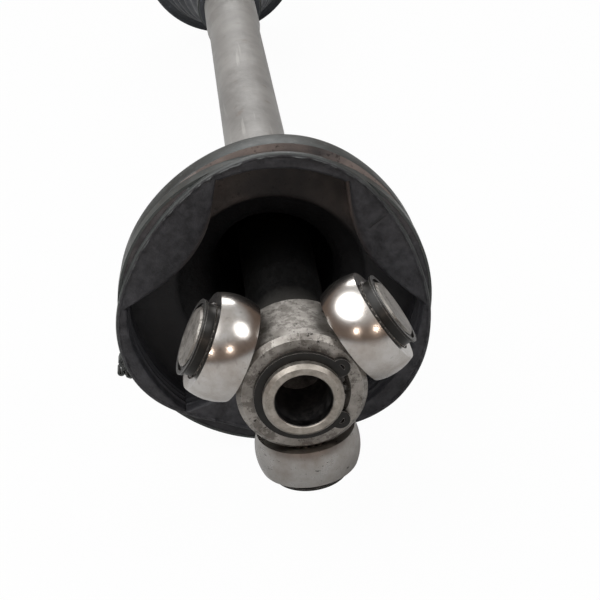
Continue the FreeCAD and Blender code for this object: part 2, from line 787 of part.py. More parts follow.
def outer_race():
    """The bell with its six tracks, and the splined stub axle behind it."""
    body = new_body("outer_race")
    front = "-bell_mouth"
    rim = "bell_rim_d / 2"
    shoulder = "stub_shoulder_d / 2"
    spline_start = "(stub_shoulder + stub_shoulder_length)"
    spline_end = f"({spline_start} + stub_relief_length + stub_spline_length)"
    tip = f"({spline_end} + stub_relief_length + stub_thread_length)"
    relief = "stub_relief_d / 2"
    spline = "stub_spline_d / 2"
    thread = "stub_thread_d / 2"
    turned(body, "bell", "XY_Plane", [
        ("0", front),
        (rim, front),
        (rim, f"{front} + bell_rim_length"),
        ("bell_d / 2", f"{front} + bell_rim_length + bell_rim_step"),
        ("bell_d / 2", "bell_round_start"),
        ("bell_d / 2 - bell_round_drop", "bell_round_middle"),
        ("bell_neck_d / 2", "bell_neck_start"),
        (shoulder, "stub_shoulder"),
        (shoulder, spline_start),
        (relief, spline_start),
        (relief, f"{spline_start} + stub_relief_length"),
        (f"{spline} - stub_chamfer / 2", f"{spline_start} + stub_relief_length"),
        (spline, f"{spline_start} + stub_relief_length + stub_chamfer / 2"),
        (spline, f"{spline_end} - stub_chamfer"),
        (f"{spline} - stub_chamfer", spline_end),
        ("stub_undercut_d / 2", spline_end),
        ("stub_undercut_d / 2", f"{spline_end} + stub_relief_length"),
        (thread, f"{spline_end} + stub_relief_length"),
        (thread, f"{tip} - stub_chamfer"),
        (f"{thread} - stub_chamfer", tip),
        ("stub_centre_d / 2", tip),
        ("0", f"{tip} - stub_centre_d"),
    ])
    feature(body, "SubtractiveSphere", "cavity", Radius="bell_bore_d / 2")
    turned(body, "entry", "XY_Plane", [
        ("0", front),
        ("bell_entry_d / 2", front),
        ("bell_entry_d / 2 - bell_entry_slope", f"{front} + bell_entry_depth"),
        ("0", f"{front} + bell_entry_depth"),
    ], kind="Groove")
    ball_tracks(body, 1)
    shaft_spline(
        body,
        "stub_space",
        "stub_spline_d",
        "spline_teeth",
        f"{spline_start} + stub_relief_length",
        f"{spline_end} - {spline_start}",
    )
    return at_joint(body)


def inner_race():
    """Splined ball shaped hub with the inner half of the tracks."""
    body = new_body("inner_race")
    ball = feature(body, "AdditiveSphere", "ball", Radius="race_d / 2")
    ball.setExpression("Angle1", link("-asin(race_length / race_d)"))
    ball.setExpression("Angle2", link("asin(race_length / race_d)"))
    ball.Placement = Placement(Vector(0, 0, 0), Rotation(Vector(1, 0, 0), -90))
    ball_tracks(body, -1)
    low = "(race_spline_d / 2 - spline_depth + spline_play)"
    half = "race_length / 2"
    turned(body, "bore", "XY_Plane", [
        ("0", f"-{half} - 1"),
        (low, f"-{half} - 1"),
        (low, f"{half} + 1"),
        ("0", f"{half} + 1"),
    ], kind="Groove")
    hub_spline(
        body, "space", "race_spline_d", "race_spline_teeth", f"-{half} - 1", "race_length + 2"
    )
    return at_joint(body)


def ball_cage():
    """Ring between the races, with a window for each ball."""
    body = new_body("ball_cage")
    ball = feature(body, "AdditiveSphere", "ball", Radius="cage_d / 2")
    ball.setExpression("Angle1", link("-asin(cage_length / cage_d)"))
    ball.setExpression("Angle2", link("asin(cage_length / cage_d)"))
    ball.Placement = Placement(Vector(0, 0, 0), Rotation(Vector(1, 0, 0), -90))
    feature(body, "SubtractiveSphere", "bore", Radius="cage_bore_d / 2")
    window = new_sketch(body, "window_outline", "XY_Plane")
    across = "(ball_d / 2 + window_relief)"
    along = "(ball_d / 2 + window_play)"
    closed_outline(window, [
        (f"-{across}", f"-{along}"),
        (across, f"-{along}"),
        (across, along),
        (f"-{across}", along),
    ])
    cut = feature(body, "Pocket", "window", window, Length="cage_d", Reversed=True)
    patterned(body, "windows", [cut], "Y_Axis", "ball_count")
    return at_joint(body)


def ball(number):
    """One ball of the joint at the wheel."""
    item = doc.addObject("Part::Sphere", f"ball_{number}")
    item.Label = f"ball_{number}"
    item.setExpression("Radius", link("ball_d / 2"))
    turn = 360 * (number - 1) / size("ball_count")
    place = about_shaft(turn, Vector(0, size("joint_spacing"), 0))
    place.Base = place.Base + place.Rotation.multVec(Vector(0, 0, size("ball_circle_d") / 2))
    item.Placement = place
    return item


def race_ring():
    """Round wire ring that keeps the inner race on the shaft."""
    body = new_body("inner_race_ring")
    sketch = new_sketch(body, "wire", "XY_Plane")
    orbit = "race_spline_d / 2 - race_ring_groove_depth + race_ring_wire_d / 2 + spline_play"
    circle(sketch, "race_ring_wire_d", orbit, f"{RACE_BACK} + race_ring_wire_d / 2 + circlip_play / 2")
    ring = feature(body, "Revolution", "ring", sketch, Angle="360 - ring_gap_angle", Midplane=True)
    ring.ReferenceAxis = (sketch, ["V_Axis"])
    return body


pieces = [drive_shaft(), tripod_spider(), spider_circlip()]
for arm in range(1, int(size("arm_count")) + 1):
    pieces += [roller(arm), needle_rollers(arm), needle_retainer(arm), snap_ring(arm)]
pieces += [inner_boot(), outer_boot(), outer_race(), inner_race(), ball_cage(), race_ring()]
for number in range(1, int(size("ball_count")) + 1):
    pieces.append(ball(number))

bar_collar = "bar_d / 2 - boot_seat_depth + boot_play + boot_collar_wall + band_play"
shoulder_collar = "shoulder_d / 2 - boot_seat_depth + boot_play + boot_collar_wall + band_play"
groove_bed = "({} - band_groove_depth + band_play)"
collar_middle = size("boot_collar_length") / 2
band_middle = size("band_groove_start") + size("band_groove_width") / 2
large_width = "(band_groove_width - 2 * band_play)"
bell_front = size("joint_spacing") - size("bell_mouth")
pieces += [
    band_clamp(
        "inner_boot_small_clamp",
        f"({bar_collar})",
        "small_band_width",
        about_shaft(0, Vector(0, size("inner_boot_collar_start") + collar_middle, 0)),
    ),
    band_clamp(
        "inner_boot_large_clamp",
        groove_bed.format(MOUTH_RADIUS),
        large_width,
        about_shaft(
            size("mouth_ear_turn"),
            Vector(-size("mouth_shift"), size("mouth_station") + band_middle, -size("mouth_drop")),
        ),
    ),
    band_clamp(
        "outer_boot_small_clamp",
        f"({shoulder_collar})",
        "small_band_width",
        about_shaft(0, Vector(0, size("outer_boot_collar_start") + collar_middle, 0)),
    ),
    band_clamp(
        "outer_boot_large_clamp",
        groove_bed.format(OUTER_RIM_RADIUS),
        large_width,
        about_shaft(0, Vector(0, bell_front - size("boot_play") + band_middle, 0)),
    ),
]

doc.recompute()

for item in doc.Objects:
    if "Invalid" in item.State or "Error" in item.State:
        raise RuntimeError(f"{item.Label} didn't build: {item.State}")
for piece in pieces:
    if piece.Shape.isNull() or not piece.Shape.isValid():
        raise RuntimeError(f"{piece.Label} has no valid shape")

os.makedirs("parts", exist_ok=True)
for piece in pieces:
    piece.Shape.exportStep(f"parts/{piece.Label}.step")
    print(piece.Label, len(piece.Shape.Solids), round(piece.Shape.Volume))
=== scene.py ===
import math

import bmesh
import bpy
from mathutils import Matrix, Vector, noise


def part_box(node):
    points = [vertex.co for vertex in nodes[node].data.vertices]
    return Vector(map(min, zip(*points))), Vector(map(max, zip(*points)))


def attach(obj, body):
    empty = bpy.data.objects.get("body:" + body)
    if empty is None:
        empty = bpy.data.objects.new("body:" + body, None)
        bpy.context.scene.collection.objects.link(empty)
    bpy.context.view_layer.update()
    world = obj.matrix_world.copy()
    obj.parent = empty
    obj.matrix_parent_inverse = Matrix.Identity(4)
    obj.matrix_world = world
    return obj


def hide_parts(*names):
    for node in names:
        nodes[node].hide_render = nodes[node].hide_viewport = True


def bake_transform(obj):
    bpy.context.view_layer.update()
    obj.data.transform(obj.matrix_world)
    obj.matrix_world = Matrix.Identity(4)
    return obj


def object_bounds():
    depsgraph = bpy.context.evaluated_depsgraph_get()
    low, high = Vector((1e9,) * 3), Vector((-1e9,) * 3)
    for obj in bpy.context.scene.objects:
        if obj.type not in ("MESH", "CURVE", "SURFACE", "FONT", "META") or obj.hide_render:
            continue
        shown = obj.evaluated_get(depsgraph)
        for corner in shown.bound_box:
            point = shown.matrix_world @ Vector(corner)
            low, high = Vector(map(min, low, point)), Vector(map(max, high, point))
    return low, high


# Looks of a half-shaft seen into its open tripod joint. Metres; +Y runs along
# the shaft, +Z is up, and the origin is the centre of the tripod.

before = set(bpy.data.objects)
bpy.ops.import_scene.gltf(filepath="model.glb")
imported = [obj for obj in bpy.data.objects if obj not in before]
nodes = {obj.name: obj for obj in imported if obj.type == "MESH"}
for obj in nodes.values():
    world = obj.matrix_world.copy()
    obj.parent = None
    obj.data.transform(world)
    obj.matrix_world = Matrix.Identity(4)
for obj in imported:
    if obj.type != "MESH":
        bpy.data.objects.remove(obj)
cad_box = [list(corner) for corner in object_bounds()]
MM = 0.001


def ends(node):
    """The first and last station of a CAD node along the shaft, in millimetres."""
    low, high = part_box(node)
    return low.y / MM, high.y / MM


BOOT_FRONT, BOOT_END = ends("inner_boot")
OUTER_BOOT_START, OUTER_BOOT_END = ends("outer_boot")
NOSE_FRONT = ends("drive_shaft")[0]
STUB_TIP = ends("outer_race")[1]
COLLAR_LENGTH = 13.0


# ---------------------------------------------------------------- meshes

def mesh_object(name, vertices, faces, sharp_degrees=35):
    """A smooth shaded mesh with its sharper edges kept crisp."""
    mesh = bpy.data.meshes.new(name)
    mesh.from_pydata(vertices, [], faces)
    mesh.validate()
    work = bmesh.new()
    work.from_mesh(mesh)
    bmesh.ops.remove_doubles(work, verts=work.verts, dist=1e-6)
    bmesh.ops.recalc_face_normals(work, faces=work.faces)
    work.to_mesh(mesh)
    work.free()
    mesh.polygons.foreach_set("use_smooth", [True] * len(mesh.polygons))
    mesh.set_sharp_from_angle(angle=math.radians(sharp_degrees))
    piece = bpy.data.objects.new(name, mesh)
    bpy.context.scene.collection.objects.link(piece)
    return piece


def looped(name, rings, closed=True, sharp_degrees=35):
    """Rings of equal count joined side by side; closed joins the last to the first."""
    count = len(rings[0])
    vertices = [point for ring in rings for point in ring]
    faces = []
    for r in range(len(rings) - (0 if closed else 1)):
        here, there = r * count, (r + 1) % len(rings) * count
        for i in range(count):
            j = (i + 1) % count
            faces.append((here + i, here + j, there + j, there + i))
    return mesh_object(name, vertices, faces, sharp_degrees)


def about_axis(radius, station, angle, centre=(0.0, 0.0)):
    """A point at an angle from +X towards +Z, in millimetres about the shaft."""
    x = centre[0] + radius * math.cos(angle)
    z = centre[1] + radius * math.sin(angle)
    return Vector((x, station, z)) * MM


def ease(share):
    share = min(max(share, 0.0), 1.0)
    return share * share * (3 - 2 * share)


# ------------------------------------------------------------- materials

class Paint:
    """A material with a Principled shader and short calls for its nodes."""

    def __init__(self, name):
        self.material = bpy.data.materials.new(name)
        self.material.use_nodes = True
        self.tree = self.material.node_tree
        self.shader = self.tree.nodes["Principled BSDF"]
        place = self.tree.nodes.new("ShaderNodeTexCoord")
        self.place = place.outputs["Object"]

    def plug(self, target, value):
        if isinstance(value, bpy.types.NodeSocket):
            self.tree.links.new(value, target)
        elif isinstance(value, tuple) and len(value) == 3 and target.type == "RGBA":
            target.default_value = (*value, 1.0)
        else:
            target.default_value = value

    def stretched(self, scale):
        node = self.tree.nodes.new("ShaderNodeMapping")
        self.plug(node.inputs["Vector"], self.place)
        node.inputs["Scale"].default_value = scale
        return node.outputs["Vector"]

    def noise(self, per_metre, detail=4.0, roughness=0.55, where=None):
        node = self.tree.nodes.new("ShaderNodeTexNoise")
        self.plug(node.inputs["Vector"], where or self.place)
        node.inputs["Scale"].default_value = per_metre
        node.inputs["Detail"].default_value = detail
        node.inputs["Roughness"].default_value = roughness
        return node.outputs["Fac"]

    def scale(self, value, low, high, to_low=0.0, to_high=1.0):
        node = self.tree.nodes.new("ShaderNodeMapRange")
        self.plug(node.inputs["Value"], value)
        node.inputs["From Min"].default_value = low
        node.inputs["From Max"].default_value = high
        node.inputs["To Min"].default_value = to_low
        node.inputs["To Max"].default_value = to_high
        return node.outputs["Result"]

    def maths(self, operation, first, second=0.0):
        node = self.tree.nodes.new("ShaderNodeMath")
        node.operation = operation
        self.plug(node.inputs[0], first)
        self.plug(node.inputs[1], second)
        return node.outputs[0]

    def mix(self, share, first, second):
        node = self.tree.nodes.new("ShaderNodeMix")
        node.data_type = "RGBA"
        self.plug(node.inputs["Factor"], share)
        self.plug(node.inputs[6], first)
        self.plug(node.inputs[7], second)
        return node.outputs[2]

    def over(self, share, strength, under, color):
        """A color laid over another one where share is 1, as strongly as told."""
        return self.mix(self.maths("MULTIPLY", share, strength), under, color)

    def part_of_place(self, axis):
        node = self.tree.nodes.new("ShaderNodeSeparateXYZ")
        self.plug(node.inputs[0], self.place)
        return node.outputs[axis]

    def edges(self, radius_mm):
        """Nearly 1 on sharp edges and 0 on open faces."""
        bevel_samples, full_turn = 6, 0.35
        bevel = self.tree.nodes.new("ShaderNodeBevel")
        bevel.samples = bevel_samples
        bevel.inputs["Radius"].default_value = radius_mm * MM
        shape = self.tree.nodes.new("ShaderNodeNewGeometry")
        dot = self.tree.nodes.new("ShaderNodeVectorMath")
        dot.operation = "DOT_PRODUCT"
        self.plug(dot.inputs[0], bevel.outputs["Normal"])
        self.plug(dot.inputs[1], shape.outputs["Normal"])
        return self.scale(self.maths("SUBTRACT", 1.0, dot.outputs["Value"]), 0.0, full_turn)

    def set(self, **values):
        names = {"color": "Base Color", "metal": "Metallic", "rough": "Roughness"}
        names["specular"] = "Specular IOR Level"
        for key, value in values.items():
            self.plug(self.shader.inputs[names[key]], value)

    def bump(self, height, depth_mm, strength=1.0):
        node = self.tree.nodes.new("ShaderNodeBump")
        node.inputs["Strength"].default_value = strength
        node.inputs["Distance"].default_value = depth_mm * MM
        self.plug(node.inputs["Height"], height)
        self.plug(self.shader.inputs["Normal"], node.outputs["Normal"])


def rubber_paint(name, low, high, rough, dents):
    """Moulded rubber between two tones, blotched, with a fine grain and pale dust."""
    paint = Paint(name)
    blotch = paint.noise(70, 6, 0.62)
    grain = paint.noise(1400, 3)
    dust = paint.scale(paint.noise(420, 2), 0.66, 0.72)
    dust_color = tuple(3.2 * tone for tone in high)
    color = paint.mix(paint.scale(blotch, 0.32, 0.7), low, high)
    color = paint.over(dust, 0.25, color, dust_color)
    paint.set(color=color, specular=0.35)
    paint.set(rough=paint.scale(paint.noise(180, 4), 0.3, 0.7, rough - 0.08, rough + 0.1))
    lumps = paint.maths("MULTIPLY", blotch, 1.5)
    paint.bump(paint.maths("ADD", grain, lumps), dents, 0.7)
    return paint.material


def boot_mouth_paint():
    """Dark leathery face; brown painted light high on the walls, painted shade low on them, painted
    black shade deep inside.
    """
    face_dark, face_light = (0.015, 0.0152, 0.0175), (0.042, 0.042, 0.047)
    wall_dim, wall_lit_brown = (0.04, 0.039, 0.042), (0.21, 0.172, 0.156)
    smear_color, pit_color = (0.02, 0.019, 0.019), (0.008, 0.007, 0.007)
    low_wall_shade, deep_shade = (0.022, 0.022, 0.025), (0.004, 0.004, 0.0045)
    face_end, wall_start = (BOOT_FRONT + 2) * MM, (BOOT_FRONT + 6) * MM
    shade_start, shade_end = (BOOT_FRONT + 16) * MM, (BOOT_FRONT + 21.5) * MM
    lit_wall_low, lit_wall_high = 5 * MM, 25 * MM

    paint = Paint("boot_mouth")
    station = paint.part_of_place("Y")
    leather = paint.noise(240, 9, 0.68)
    face = paint.mix(paint.scale(leather, 0.36, 0.64), face_dark, face_light)
    smear = paint.noise(60, 6, 0.65)
    # Patches of brown painted light on the walls; lower down the walls turn dark as painted shade.
    lit_patches = paint.scale(paint.noise(26, 3), 0.45, 0.62)
    wall = paint.mix(lit_patches, wall_dim, wall_lit_brown)
    wall = paint.mix(paint.scale(smear, 0.35, 0.7, 0.0, 0.45), wall, smear_color)
    pits = paint.scale(paint.noise(420, 4, 0.65), 0.6, 0.68)
    wall = paint.over(pits, 0.7, wall, pit_color)
    wall = paint.mix(paint.scale(paint.part_of_place("Z"), lit_wall_high, lit_wall_low), wall, low_wall_shade)
    color = paint.mix(paint.scale(station, face_end, wall_start), face, wall)
    # Painted shade: the cup goes black deep inside.
    color = paint.mix(paint.scale(station, shade_start, shade_end), color, deep_shade)
    paint.set(color=color, specular=0.28)
    paint.set(rough=paint.scale(smear, 0.3, 0.7, 0.42, 0.6))
    paint.bump(paint.maths("ADD", leather, paint.maths("MULTIPLY", smear, 0.8)), 0.45, 0.9)
    return paint.material


def band_paint():
    """Dull dark strip steel of the boot clamps, a little paler on its edges."""
    dark, light = (0.022, 0.025, 0.025), (0.075, 0.085, 0.083)
    rust, worn = (0.16, 0.13, 0.1), (0.11, 0.11, 0.107)

    paint = Paint("clamp_band")
    streak = paint.noise(160, 5, 0.6)
    spots = paint.scale(paint.noise(700, 3), 0.6, 0.68)
    color = paint.mix(streak, dark, light)
    color = paint.over(spots, 0.4, color, rust)
    color = paint.over(paint.edges(0.25), 0.5, color, worn)
    paint.set(color=color, metal=0.3, rough=paint.scale(streak, 0.3, 0.7, 0.36, 0.55))
    paint.bump(streak, 0.05, 0.5)
    return paint.material


def shaft_paint():
    """Grey coated bar, bare turned nose, painted black shade in the bore, and grease inside the boot
    fading to black painted shade.
    """
    coat_dark, coat_light = (0.19, 0.187, 0.181), (0.3, 0.295, 0.285)
    scratch_color, stain_color = (0.5, 0.49, 0.47), (0.12, 0.085, 0.06)
    grease_near, bar_shade_black = (0.05, 0.047, 0.043), (0.0015, 0.0015, 0.0015)
    nose_dark, nose_light, nick_color = (0.22, 0.2, 0.175), (0.36, 0.335, 0.3), (0.06, 0.05, 0.04)
    bore_dark, bore_light = (0.008, 0.008, 0.009), (0.05, 0.048, 0.047)
    bare_edge = (0.6, 0.58, 0.55)
    nose_length, bore_radius, bore_end = 3.7, 9.3, 19.0
    collar_start = (BOOT_END - COLLAR_LENGTH) * MM
    nose_end = (NOSE_FRONT + nose_length) * MM
    hub_back, full_shade_at = 16 * MM, 40 * MM

    paint = Paint("shaft_bar")
    cloud = paint.noise(34, 6, 0.62)
    fine = paint.noise(520, 5, 0.65)
    along = paint.noise(300, 3, 0.5, paint.stretched((1.0, 0.05, 1.0)))
    broad, small = paint.maths("MULTIPLY", cloud, 0.65), paint.maths("MULTIPLY", fine, 0.35)
    tone = paint.maths("ADD", broad, small)
    color = paint.mix(paint.scale(tone, 0.38, 0.62), coat_dark, coat_light)
    color = paint.over(paint.scale(along, 0.64, 0.70), 0.3, color, scratch_color)
    stain = paint.scale(paint.noise(90, 5, 0.7), 0.6, 0.72)
    color = paint.over(stain, 0.35, color, stain_color)

    station = paint.part_of_place("Y")
    # Inside the boot the bar turns to dark grease, which fades to black painted shade deeper in.
    inside = paint.scale(station, collar_start + 1 * MM, collar_start - 1 * MM)
    grease_and_shade = paint.mix(paint.scale(station, hub_back, full_shade_at), grease_near, bar_shade_black)
    color = paint.mix(inside, color, grease_and_shade)

    nose = paint.scale(station, nose_end + 0.15 * MM, nose_end - 0.15 * MM)
    bare = paint.mix(paint.scale(fine, 0.35, 0.65), nose_dark, nose_light)
    nick = paint.scale(paint.noise(900, 4, 0.7), 0.66, 0.72)
    bare = paint.over(nick, 0.7, bare, nick_color)
    color = paint.mix(nose, color, bare)

    # Painted shade inside the bore: nearly black with a faint mottle.
    off_axis = paint.tree.nodes.new("ShaderNodeVectorMath")
    off_axis.operation = "LENGTH"
    paint.plug(off_axis.inputs[0], paint.stretched((1.0, 0.0, 1.0)))
    in_bore = paint.scale(off_axis.outputs["Value"], (bore_radius + 0.15) * MM, bore_radius * MM)
    in_front = paint.scale(station, (bore_end + 1) * MM, bore_end * MM)
    bore_shade = paint.mix(paint.scale(fine, 0.4, 0.65), bore_dark, bore_light)
    color = paint.mix(paint.maths("MULTIPLY", in_bore, in_front), color, bore_shade)

    bright = paint.maths("MULTIPLY", paint.edges(0.35), paint.scale(inside, 0.0, 1.0, 0.6, 0.3))
    color = paint.mix(bright, color, bare_edge)
    open_bar = paint.scale(inside, 0.0, 1.0, 0.2, 0.0)
    paint.set(color=color, specular=0.3)
    paint.set(metal=paint.maths("MAXIMUM", open_bar, paint.maths("MULTIPLY", nose, 0.9)))
    paint.set(rough=paint.scale(fine, 0.3, 0.7, 0.36, 0.54))
    paint.bump(fine, 0.06, 0.5)
    return paint.material


def forged_paint():
    """Forged and turned steel with black pits, stains and bright edges."""
    dark, light = (0.16, 0.148, 0.133), (0.32, 0.305, 0.283)
    stain_color, pit_color, edge_color = (0.05, 0.042, 0.034), (0.015, 0.012, 0.01), (0.66, 0.64, 0.6)

    paint = Paint("spider_steel")
    pits = paint.noise(520, 5, 0.72)
    cloud = paint.noise(150, 6, 0.65)
    color = paint.mix(paint.scale(cloud, 0.35, 0.65), dark, light)
    color = paint.over(paint.scale(paint.noise(170, 8, 0.8), 0.51, 0.55), 0.6, color, stain_color)
    color = paint.over(paint.scale(pits, 0.4, 0.34), 0.95, color, pit_color)
    color = paint.over(paint.edges(0.4), 0.7, color, edge_color)
    paint.set(color=color, metal=0.8, rough=paint.scale(cloud, 0.3, 0.7, 0.34, 0.52))
    paint.bump(paint.maths("ADD", pits, paint.maths("MULTIPLY", cloud, 1.5)), 0.14, 0.8)
    return paint.material


def polished_paint(name, flecks, dull, tone=1.0):
    """Ground bearing steel with hair scratches, flecks and a thin brown film; tone below 1 darkens a
    copy as painted shade.
    """
    clean = tuple(tone * part for part in (0.5, 0.485, 0.465))
    filmed = tuple(tone * part for part in (0.34, 0.3, 0.265))
    scratch_color, fleck_color = (0.2, 0.18, 0.16), (0.03, 0.027, 0.025)

    paint = Paint(name)
    film = paint.noise(75, 6, 0.7)
    hair = paint.noise(600, 4, 0.6, paint.stretched((1.0, 1.0, 0.12)))
    color = paint.mix(paint.scale(film, 0.42, 0.72), clean, filmed)
    color = paint.over(paint.scale(hair, 0.62, 0.68), 0.35, color, scratch_color)
    spots = paint.noise(260, 4, 0.75, paint.stretched((1.0, 1.0, 2.6)))
    color = paint.over(paint.scale(spots, 0.635, 0.66), flecks, color, fleck_color)
    paint.set(color=color, metal=1.0)
    paint.set(rough=paint.scale(film, 0.3, 0.75, 0.13 + dull, 0.24 + dull))
    paint.bump(hair, 0.02, 0.4)
    return paint.material


def dark_steel_paint():
    """Blackened spring steel, bright where it has rubbed."""
    paint = Paint("spring_steel")
    cloud = paint.noise(300, 4, 0.6)
    color = paint.mix(cloud, (0.006, 0.0058, 0.0055), (0.022, 0.021, 0.019))
    color = paint.over(paint.edges(0.18), 0.8, color, (0.5, 0.48, 0.46))
    rough = paint.scale(cloud, 0.3, 0.7, 0.3, 0.45)
    paint.set(color=color, metal=0.35, rough=rough, specular=0.3)
    return paint.material


def dress(node, material):
    piece = nodes[node]
    piece.data.materials.clear()
    piece.data.materials.append(material)


rim_rubber = rubber_paint("boot_rim", (0.02, 0.0225, 0.022), (0.055, 0.061, 0.06), 0.45, 0.08)
far_rubber = rubber_paint("outer_boot_rubber", (0.012, 0.014, 0.017), (0.034, 0.038, 0.045), 0.45, 0.12)
mouth_rubber = boot_mouth_paint()
band_steel = band_paint()
forged = forged_paint()
polished = polished_paint("roller_steel", 0.25, 0.04)
# The lower roller's copy has more flecks and a duller finish, and is darker overall as painted shade.
scratched_and_shaded = polished_paint("roller_steel_scratched_and_shaded", 0.85, 0.12, 0.66)
dark_steel = dark_steel_paint()

dress("drive_shaft", shaft_paint())
dress("tripod_spider", forged)
for name in ("spider_circlip", "inner_race_ring", "ball_cage"):
    dress(name, dark_steel)
for arm in (1, 2, 3):
    dress(f"roller_{arm}", scratched_and_shaded if arm == 1 else polished)
    dress(f"needle_rollers_{arm}", polished)
    dress(f"needle_retainer_{arm}", dark_steel)
    dress(f"trunnion_snap_ring_{arm}", dark_steel)
for number in range(1, 7):
    dress(f"ball_{number}", polished)
for name in ("outer_race", "inner_race"):
    dress(name, forged)
for end in ("inner", "outer"):
    for width in ("small", "large"):
        dress(f"{end}_boot_{width}_clamp", band_steel)


# ------------------------------------------------------------ both boots

STEPS = 540
ANGLES = [2 * math.pi * i / STEPS for i in range(STEPS)]
BOOT_WALL = 2.6


def folds(count, start, small, end, large, depth):
    """Blunt crests and hollows that deepen from a small collar to a large one."""
    blunt = 0.2
    line = []
    for step in range(2 * count):
        middle = (step + 0.5) / (2 * count)
        crest = small + (large - small) * middle
        radius = crest if step % 2 else crest - depth * middle
        for side in (-blunt, blunt):
            share = middle + side / (2 * count)
            line.append((radius, start + (end - start) * share))
    return line


def rounded(line):
    """The same run of points with its corners cut round, twice over."""
    for _ in range(2):
        cut = [line[0]]
        for (r0, y0), (r1, y1) in zip(line, line[1:]):
            cut.append((0.75 * r0 + 0.25 * r1, 0.75 * y0 + 0.25 * y1))
            cut.append((0.25 * r0 + 0.75 * r1, 0.25 * y0 + 0.75 * y1))
        line = cut + [line[-1]]
    return line


def inset(line, wall):
    return [(radius - wall, station) for radius, station in line]


# ------------------------------------------------------------ inner boot

# The mouth is a cup of its own, aside of the shaft. Angles run from +X to +Z.
CUP = (-3.3, -2.6)
LOBE_TURN = math.radians(79)
LOBE_R = 53.0
PAD_ARC = 42.0
PADS = ((math.radians(24), 37.0), (math.radians(139), 35.0), (math.radians(257), 35.5))
PAD_R = 37.0
SEAM_TURN = math.radians(35)
LIP_R = 56.0
REAR_LIP_R = 55.7
BAND_BED_R = 55.3
BAND_START, BAND_END = BOOT_FRONT + 2.6, BOOT_FRONT + 7.8
CUP_BACK = BOOT_FRONT + 20.6
NECK_R = 23.0
STEP_R = 35.5

INNER_FOLDS = 4
INNER_SMALL_R, INNER_LARGE_R = 16.4, 44.0
INNER_BORE_R = 13.2
INNER_FOLD_DEPTH = 6.0
INNER_FOLD_FRONT = BOOT_FRONT + 21.3


def bulge(angle, turn, spread):
    """1 at a direction from the mouth's centre, fading to 0 on both sides."""
    off = (angle - turn + math.pi) % (2 * math.pi) - math.pi
    return math.exp(-((off / spread) ** 2))


def lip_radius(angle):
    """The front lip swells over each lobe and is pressed in at the lower left."""
    swell = 2.8 * math.cos(3 * (angle - LOBE_TURN))
    pressed = 3.2 * bulge(angle, math.radians(238), math.radians(20))
    drawn_out = 1.6 * bulge(angle, math.radians(310), math.radians(20))
    return LIP_R + swell - pressed + drawn_out


def rear_radius(angle):
    """The rear lip stands up over the upper lobe only."""
    return REAR_LIP_R + 3.8 * bulge(angle, math.radians(76), math.radians(34))


def pad_radius(angle):
    """How far from the mouth's centre the lobed opening reaches at an angle."""
    soft = 13.0
    reach = LOBE_R
    for turn, inner in PADS:
        centre = inner + PAD_ARC
        off = (angle - turn + math.pi) % (2 * math.pi) - math.pi
        inside = PAD_ARC**2 - (centre * math.sin(off)) ** 2
        if inside > 0 and abs(off) < math.pi / 2:
            pad = centre * math.cos(off) - math.sqrt(inside)
            share = min(max(0.5 + 0.5 * (reach - pad) / soft, 0.0), 1.0)
            reach = reach * (1 - share) + pad * share - soft * share * (1 - share) / 2
    return reach


def wobble(angle, station, per_mm, seed):
    """Smooth unevenness from -1 to 1 over the boot."""
    typical_radius = 50.0
    spot = about_axis(typical_radius, station, angle) / MM
    return noise.noise(spot * per_mm + Vector((seed, 0, 0)))


def rim_line(angle, lip):
    """From the back of the rear lip over the clamp's bed to the flash on the front lip."""
    rear = rear_radius(angle)
    flash = 1.3 * max(0.0, wobble(angle, 0, 0.42, 17) + 0.05)
    front = BOOT_FRONT
    rear_lip = [
        (rear - 2.2, CUP_BACK), (rear - 1.2, CUP_BACK - 1.6), (rear - 0.3, CUP_BACK - 3.0),
        (rear, CUP_BACK - 4.4), (rear, BAND_END + 1.8), (rear - 0.25, BAND_END + 0.9),
    ]
    bed = [(BAND_BED_R, BAND_END + 0.3), (BAND_BED_R, BAND_END)]
    bed += [(BAND_BED_R, BAND_START + 0.8), (BAND_BED_R, BAND_START + 0.25)]
    front_lip = [
        (lip - 0.05, front + 2.45), (lip, front + 2.0), (lip, front + 1.0), (lip - 0.15, front + 0.5),
        (lip - 0.45, front + 0.2), (lip - 0.75, front + 0.1), (lip - 0.95, front + 0.05 - flash),
        (lip - 1.3, front + 0.1 - flash),
    ]
    return rear_lip + bed + front_lip


